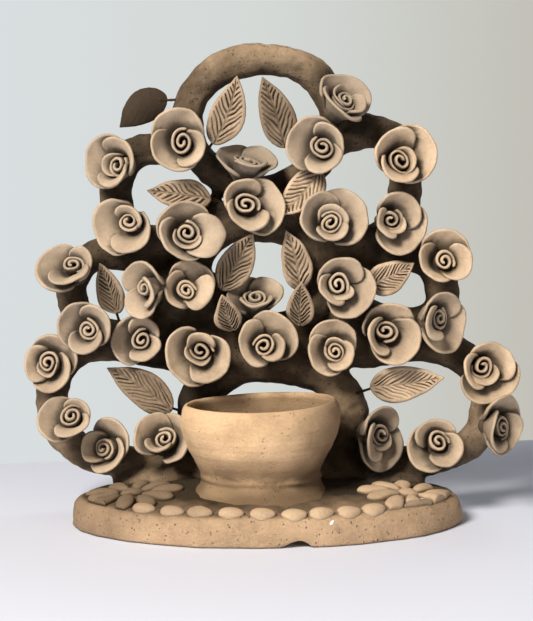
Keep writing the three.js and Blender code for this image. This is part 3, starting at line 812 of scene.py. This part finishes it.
def plinth():
    a, b = PLINTH_HALF
    share, height = np.array(PLINTH_OUTLINE).T
    spacing = np.concatenate([[0], np.cumsum(np.hypot(np.diff(share * 90), np.diff(height)))])
    fine = np.linspace(0, spacing[-1], 150)
    share, height = np.interp(fine, spacing, share), np.interp(fine, spacing, height)
    points, faces = spun(list(zip(share, height)), 300)
    r = np.hypot(points[:, 0], points[:, 1])
    points[:, 0] *= a
    points[:, 1] *= b
    points[:, 1] *= 1 + FRONT_SWELL * (points[:, 1] < 0)
    points[:, 1] += SKEW * points[:, 0]
    top = smooth_step(points[:, 2], 13, 17)
    side = (1 - top) * smooth_step(r, 0.9, 0.98)
    out = points * np.array([1, 1, 0])
    out /= np.linalg.norm(out, axis=1, keepdims=True) + 1e-9
    rough = 0.55 * ripple(points, 34, 11) + 0.3 * ripple(points, 12, 12) + 0.1 * ripple(points, 4, 13)
    points += out * (rough * side)[:, None]
    points[:, 2] += rough * 0.8 * top
    across = (points[:, 0] - NOTCH_X) / np.where(points[:, 0] < NOTCH_X, 11, 7)
    arch = 3.8 * np.cos(np.clip(across, -1, 1) * math.pi / 2) ** 1.3
    vault = arch * (1 - smooth_step(points[:, 1], -62, -48)) * np.clip(1 - points[:, 2] / 11, 0, 1)
    points[:, 2] += vault
    points[:, 2] = np.maximum(points[:, 2], 0)
    cloud = 0.10 * ripple(points, 26, 14) + 0.05 * ripple(points, 9, 15)
    # The top is darker overall, and darker still towards the back: painted shade under the overhanging tree
    soot = (0.50 + cloud + 0.50 * smooth_step(points[:, 1], -52, -2)) * top
    soot *= 1 - 0.8 * smooth_step(r, 0.93, 0.975)
    # Darker towards the left, on the top and on the left end
    soot += 0.2 * top * smooth_step(-points[:, 0], 0, 60)
    soot += 0.45 * (1 - top) * smooth_step(-points[:, 0], 50, 108) * smooth_step(r, 0.9, 0.96)
    # Painted shade round the foot of the bowl and along the bottom edge on the floor
    near_bowl = np.hypot(points[:, 0] - BOWL_CENTRE[0], points[:, 1] - BOWL_CENTRE[1])
    soot += 0.3 * top * (1 - smooth_step(near_bowl, 43, 60))
    soot += 0.5 * (1 - smooth_step(points[:, 2], 0.0, 1.2)) * (r > 0.9)
    soot = np.clip(soot, 0, 1)
    made = make_mesh("plinth_clay", points, faces, PLINTH_CLAY, soot=soot, wear=np.zeros(len(points)))
    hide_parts("plinth")
    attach(made, "tree")
    return made


# From the middle of the foot up the outside, over the rim and down to the middle: (radius, height)
BOWL_OUTLINE = [
    (0, 13), (46, 13), (44.8, 16.6), (41.2, 18.6), (38.0, 21), (35.3, 24.4), (34.0, 27.5), (33.8, 30.2),
    (34.7, 33.5), (37.6, 39), (41.2, 45), (43.7, 52), (44.9, 58.5), (44.9, 64), (44.0, 68.5), (43.0, 71.0),
    (42.3, 72.0), (41.4, 72.3), (40.6, 71.8), (40.3, 70.6), (40.7, 66), (40.9, 60), (40.2, 52), (37.4, 44),
    (32.5, 37), (24, 32), (12, 30), (0, 29.5),
]
BOWL_INNER_EDGE = 19
BOWL_SIDES = 200


def bowl():
    r, z = np.array(BOWL_OUTLINE).T
    run = np.concatenate([[0], np.cumsum(np.hypot(np.diff(r), np.diff(z)))])
    fine = np.linspace(0, run[-1], 240)
    inner_start = run[BOWL_INNER_EDGE]
    r, z = np.interp(fine, run, r), np.interp(fine, run, z)
    for _ in range(4):
        r[1:-1] = (r[:-2] + 2 * r[1:-1] + r[2:]) / 4
        z[1:-1] = (z[:-2] + 2 * z[1:-1] + z[2:]) / 4
    inside = smooth_step(fine, inner_start, inner_start + 3)
    r = r + inside * 0.10 * np.sin(z * 2 * math.pi / 2.1) * (r > 8)
    rings = 0.04 * np.sin(z * 2 * math.pi / 3.1) + 0.05 * np.sin(z * 2 * math.pi / 7.3)
    r = r + (1 - inside) * rings * (z > 33)
    r = r + (1 - inside) * 0.9 * np.exp(-((z - 29.5) / 1.3) ** 2)
    points, faces = spun(list(zip(r, z)), BOWL_SIDES)
    level = smooth_step(points[:, 2], 30, 70)
    around = np.arctan2(points[:, 1], points[:, 0])
    points[:, 2] += 1.7 * points[:, 0] / 44 * level + 0.45 * np.sin(2 * around + 1) * level
    points[:, 0] *= 1 + 0.012 * level
    out = points * np.array([1, 1, 0])
    out /= np.linalg.norm(out, axis=1, keepdims=True) + 1e-9
    band = np.exp(-((points[:, 2] - 30.5) / 3.2) ** 2) + 0.6 * (1 - smooth_step(points[:, 2], 17, 27))
    wob = 0.45 * ripple(points, 30, 21) + 0.18 * ripple(points, 9, 22)
    rough = band * (0.20 * ripple(points, 2.4, 23) + 0.3 * ripple(points * [1, 1, 3], 12, 24))
    points += out * (wob + rough)[:, None]
    angle = np.arctan2(points[:, 1], points[:, 0])
    soot = 0.62 * np.exp(-((points[:, 2] - 30.5) / 3.0) ** 2) * (0.6 + 0.4 * np.sin(angle * 2 + 2.4))
    soot = np.clip(soot + 0.35 * ripple(points, 7, 25) * band, 0, 0.8)
    # The foot below the belly is darker: partly soot, partly painted shade under the belly
    foot = 0.85 * (1 - smooth_step(points[:, 2], 26, 50)) + 0.1 * ripple(points, 14, 26) * (points[:, 2] < 50)
    soot = np.maximum(soot, foot)
    # Painted shade: the right side is darker, away from the key light
    soot = np.clip(soot + 0.5 * smooth_step(points[:, 0], 14, 44), 0, 0.9)
    points[:, :2] += np.array(BOWL_CENTRE)
    # Painted shade inside the bowl, darker deeper down
    ring = np.concatenate([np.repeat(inside[1:-1], BOWL_SIDES), [0, 1]])
    deep = ring * (0.62 + 0.33 * (1 - smooth_step(points[:, 2], 40, 70)))
    soot = np.maximum(soot * (1 - ring), deep)
    made = make_mesh("bowl_clay", points, faces, BOWL_CLAY, soot=soot, wear=np.zeros(len(points)))
    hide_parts("bowl")
    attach(made, "tree")


ground = plinth()
bowl()
tree_of_ground = BVHTree.FromObject(ground, bpy.context.evaluated_depsgraph_get())


def ground_height(x, y):
    hit = tree_of_ground.ray_cast(Vector((x * MM, y * MM, 0.1)), Vector((0, 0, -1)))
    return hit[0].z / MM if hit[0] is not None else 12.0


def pressed_drop(length, width, height, seed, pointed=0.25):
    """A flattened drop of clay along +X, with one end narrower."""
    profile = [(math.sin(math.pi * k / 20), -math.cos(math.pi * k / 20)) for k in range(21)]
    points, faces = spun(profile, 40)
    points = points[:, [2, 1, 0]] * np.array([1, 1, -1])
    x, y, z = points.T
    y = y * (1 - pointed * x - 0.12 * x * x)
    z = np.sign(z) * np.abs(z) ** 0.8 * (1 - 0.25 * pointed * x)
    points = np.stack([x * length / 2, y * width / 2, z * height], 1)
    points += 0.12 * np.stack([ripple(points, 8, seed + k) for k in range(3)], 1)
    return points, faces


def laid(points, cx, cy, turn):
    """The points turned, moved to (cx, cy), kept inside the rim, and set down on the plinth."""
    x, y = rotate(points[:, 0], points[:, 1], turn)
    x, y = x + cx, y + cy
    a, b = PLINTH_HALF
    share = np.hypot(x / a, (y - SKEW * x) / (b * np.where(y < 0, 1 + FRONT_SWELL, 1)))
    inward = np.minimum(1, 0.955 / share)
    x, y = x * inward, y * inward
    rise = np.array([ground_height(px, py) for px, py in zip(x, y)])
    return np.stack([x, y, points[:, 2] + rise], 1)


def daisy(name, cx, cy, first):
    heap = Heap()
    rng = np.random.default_rng(len(name))
    for k in range(10):
        turn = math.radians(first + 36 * k + rng.uniform(-5, 5))
        size = rng.uniform(0.9, 1.1)
        points, faces = pressed_drop(21.5 * size, 10.0, 4.0, 300 + k + len(name), -0.34)
        reach = 18 + 1.6 * (-1) ** k + rng.uniform(-0.6, 0.6)
        px, py = cx + reach * math.cos(turn), cy + reach * math.sin(turn) * 1.02
        points = laid(points, px, py, turn)
        points[:, 2] += 0.5 * (k % 2) - 0.2
        heap.add(points, faces, np.zeros(len(points)))
    points, faces = pressed_drop(14, 11, 4.2, 390 + len(name), 0.05)
    points = laid(points, cx, cy, 0.3)
    heap.add(points, faces, np.zeros(len(points)))
    points, faces, _ = heap.all()
    low = np.array([ground_height(px, py) for px, py in points[:, :2]])
    # Painted shade where the clay meets the plinth; the left daisy is made darker all over
    soot = 0.5 * (1 - smooth_step(points[:, 2] - low, 0.2, 1.8)) + (0.66 if cx < 0 else 0.02)
    made = make_mesh(name + "_clay", points, faces, RELIEF_CLAY, soot=soot, wear=np.zeros(len(points)))
    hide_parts(name)
    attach(made, "tree")


for name, (cx, cy, first) in DAISIES.items():
    daisy(name, cx, cy, first)

for k, x in enumerate(PELLET_X):
    a, b = PLINTH_HALF
    y = -1.035 * b * PELLET_RING * math.sqrt(1 - (x / (a * PELLET_RING)) ** 2) + 0.03 * x
    slope = math.atan(b * x / (a * a * math.sqrt(1 - (x / a) ** 2)) * 0.95)
    points, faces = pressed_drop(14.6, 8.8, 3.9, 500 + 3 * k, 0.2)
    points = np.stack([*rotate(points[:, 0], points[:, 1], slope), points[:, 2]], 1)
    points = points + np.array([x, y, ground_height(x, y) - 0.4])
    points[:, 2] += (points[:, 1] - y) * 0.2
    low = np.array([ground_height(px, py) for px, py in points[:, :2]])
    # Painted shade where each pellet meets the plinth; the pellets on the left are made darker
    soot = 0.5 * (1 - smooth_step(points[:, 2] - low, 0.0, 1.0)) + 0.22 * (x < -30)
    made = make_mesh(f"pellet_{k + 1:02d}", points, faces, RELIEF_CLAY, soot=soot, wear=0 * soot)
    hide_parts("pellet_border")
    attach(made, "tree")


# A fleck of white slip on the front rim
points, faces = pressed_drop(3.6, 1.8, 0.7, 950, 0.5)
x, z = rotate(points[:, 0], points[:, 1], 0.9)
fleck = np.stack([x + 34.5, points[:, 2] * 0.6 - 73.1, z + 14.6], 1)
made = make_mesh("white_fleck", fleck, faces, plain("white_slip", (0.82, 0.80, 0.76)))
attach(made, "tree")


# Painted shade: clay that its neighbours shelter is painted darker, as shade falls there

def shelter(things, voxel=1.8, reach=17.0, rays=30):
    """For each point of each piece, how much of what it faces is close to another surface, 0 to 1."""
    clouds = [points_of(thing) for thing in things]
    low = np.vstack([c.min(0) for c in clouds]).min(0) - reach - 6
    high = np.vstack([c.max(0) for c in clouds]).max(0) + reach + 6
    grid = np.zeros(((high - low) / voxel).astype(int) + 2, bool)
    for cloud in clouds:
        grid[tuple(((cloud - low) / voxel).astype(int).T)] = True
    k = np.arange(rays) + 0.5
    rise, turn = 1 - 2 * k / rays, k * 2.39996
    level = np.sqrt(1 - rise ** 2)
    ways = np.stack([level * np.cos(turn), level * np.sin(turn), rise], 1)
    found = []
    for thing, cloud in zip(things, clouds):
        normal = normals_of(thing)
        blocked, weight = np.zeros(len(cloud)), np.full(len(cloud), 1e-6)
        for way in ways:
            facing = normal @ way
            use = facing > 0.15
            start = cloud[use] + normal[use] * 1.9
            hit = np.zeros(len(start))
            for step in np.arange(1.5, reach, voxel):
                cell = ((start + way * step - low) / voxel).astype(int)
                hit = np.maximum(hit, grid[tuple(cell.T)] * (1 - 0.55 * step / reach))
            blocked[use] += facing[use] * hit
            weight[use] += facing[use]
        found.append(blocked / weight)
    return found


def paint_shelter_shade(strength):
    """Darkens each piece's colour by its shelter: painted shade in its crevices and under its neighbours.
    strength maps the start of a piece's name to its share.
    """
    things = [t for t in bpy.data.objects if t.type == "MESH" and t.data.attributes.get("soot")]
    for thing, near in zip(things, shelter(things)):
        kept = np.zeros(len(near), np.float32)
        thing.data.attributes["soot"].data.foreach_get("value", kept)
        share = [v for k, v in strength.items() if thing.name.startswith(k)][0]
        dark = share * smooth_step(near, 0.14, 0.80)
        set_value(thing, "soot", 1 - (1 - kept) * (1 - dark))


paint_shelter_shade({
    "rose": 0.78, "leaf": 0.55, "coil": 1.0, "bowl": 0.75, "plinth": 0.9,
    "left_daisy": 0.6, "right_daisy": 0.6, "pellet": 0.6,
})


# Stage: floor, light and camera

def flat_piece(name, corners, z, colour):
    made = make_mesh(name, [(x, y, z) for x, y in corners], [(0, 1, 2, 3)], plain(name, colour))


flat_piece("floor", [(-4000, -4000), (4000, -4000), (4000, 1310), (-4000, -840)], -0.05, (0.68, 0.72, 0.84))


def area_light(name, place, aim, size, power, colour):
    data = bpy.data.lights.new(name, "AREA")
    data.shape = "DISK"
    data.size = size
    data.energy = power
    data.color = colour
    lamp = bpy.data.objects.new(name, data)
    bpy.context.scene.collection.objects.link(lamp)
    lamp.location = place
    lamp.rotation_euler = (Vector(aim) - Vector(place)).to_track_quat("-Z", "Y").to_euler()


area_light("key", (-0.80, -1.22, 1.15), (0, 0, 0.12), 0.64, 53, (1.0, 0.93, 0.84))
area_light("fill", (0.9, -1.1, 0.35), (0, 0, 0.12), 1.0, 2.5, (1.0, 0.93, 0.84))
area_light("rim", (0.5, 0.9, 0.9), (0, 0, 0.15), 0.8, 3.5, (0.9, 0.95, 1.0))

world = bpy.data.worlds.new("studio")
bpy.context.scene.world = world
world.use_nodes = True
tree = world.node_tree
tree.nodes.clear()
out = tree.nodes.new("ShaderNodeOutputWorld")
seen = tree.nodes.new("ShaderNodeBackground")
lit = tree.nodes.new("ShaderNodeBackground")
pick = tree.nodes.new("ShaderNodeMixShader")
path = tree.nodes.new("ShaderNodeLightPath")
way = tree.nodes.new("ShaderNodeTexCoord")
split = tree.nodes.new("ShaderNodeSeparateXYZ")
# The backdrop seen by the camera runs darker and warmer to the right: painted shadow of the tree on the wall
backdrop_with_painted_shadow = ramp(tree.nodes, [(0.40, (0.70, 0.735, 0.755)), (0.5, (0.66, 0.69, 0.67)), (0.60, (0.52, 0.50, 0.44))])
shift = tree.nodes.new("ShaderNodeMapRange")
shift.inputs["From Min"].default_value = -1
tree.links.new(way.outputs["Generated"], split.inputs[0])
tree.links.new(split.outputs["X"], shift.inputs["Value"])
tree.links.new(shift.outputs["Result"], backdrop_with_painted_shadow.inputs["Fac"])
tree.links.new(backdrop_with_painted_shadow.outputs["Color"], seen.inputs["Color"])
lit.inputs["Color"].default_value = (0.95, 0.84, 0.73, 1)
lit.inputs["Strength"].default_value = 0.105
tree.links.new(path.outputs["Is Camera Ray"], pick.inputs["Fac"])
tree.links.new(lit.outputs[0], pick.inputs[1])
tree.links.new(seen.outputs[0], pick.inputs[2])
tree.links.new(pick.outputs[0], out.inputs[0])

camera = bpy.data.objects.new("camera", bpy.data.cameras.new("camera"))
bpy.context.scene.collection.objects.link(camera)
camera.location = (-0.9 * MM, -0.9, 0.1944)
camera.rotation_euler = (math.radians(90 - 4.53), 0, 0)
camera.data.sensor_width = 36
camera.data.lens = 90.3
bpy.context.scene.camera = camera
bpy.context.scene.view_settings.view_transform = "Standard"
